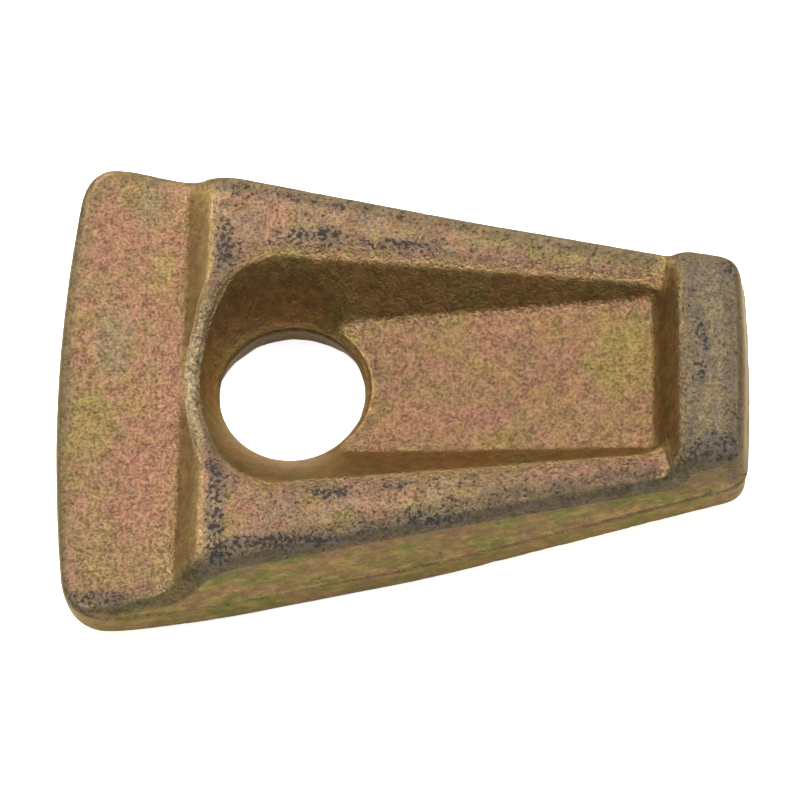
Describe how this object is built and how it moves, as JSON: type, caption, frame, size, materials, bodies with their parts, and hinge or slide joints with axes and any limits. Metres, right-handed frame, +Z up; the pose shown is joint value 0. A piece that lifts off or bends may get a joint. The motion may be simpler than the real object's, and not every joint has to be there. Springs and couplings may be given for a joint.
{
  "type": "bolt-down clamp plate",
  "caption": "Forged steel clamp plate, trapezoid in plan, with a flat pad, two ribs round a long pocket, a bolt hole and a raised heel.",
  "frame": {"origin": "middle of the length and width, level with the flat of the underside", "axes": "+X from the wide pad end to the narrow heel end, +Y to the left side, +Z up through the ribs"},
  "size_m": [0.0997, 0.0718, 0.0216],
  "materials": {
    "plated_steel": "satin yellow zinc plating over a grit-blasted forging"
  },
  "bodies": {
    "root": {"clamp_body": "plated_steel"}
  },
  "joints": []
}
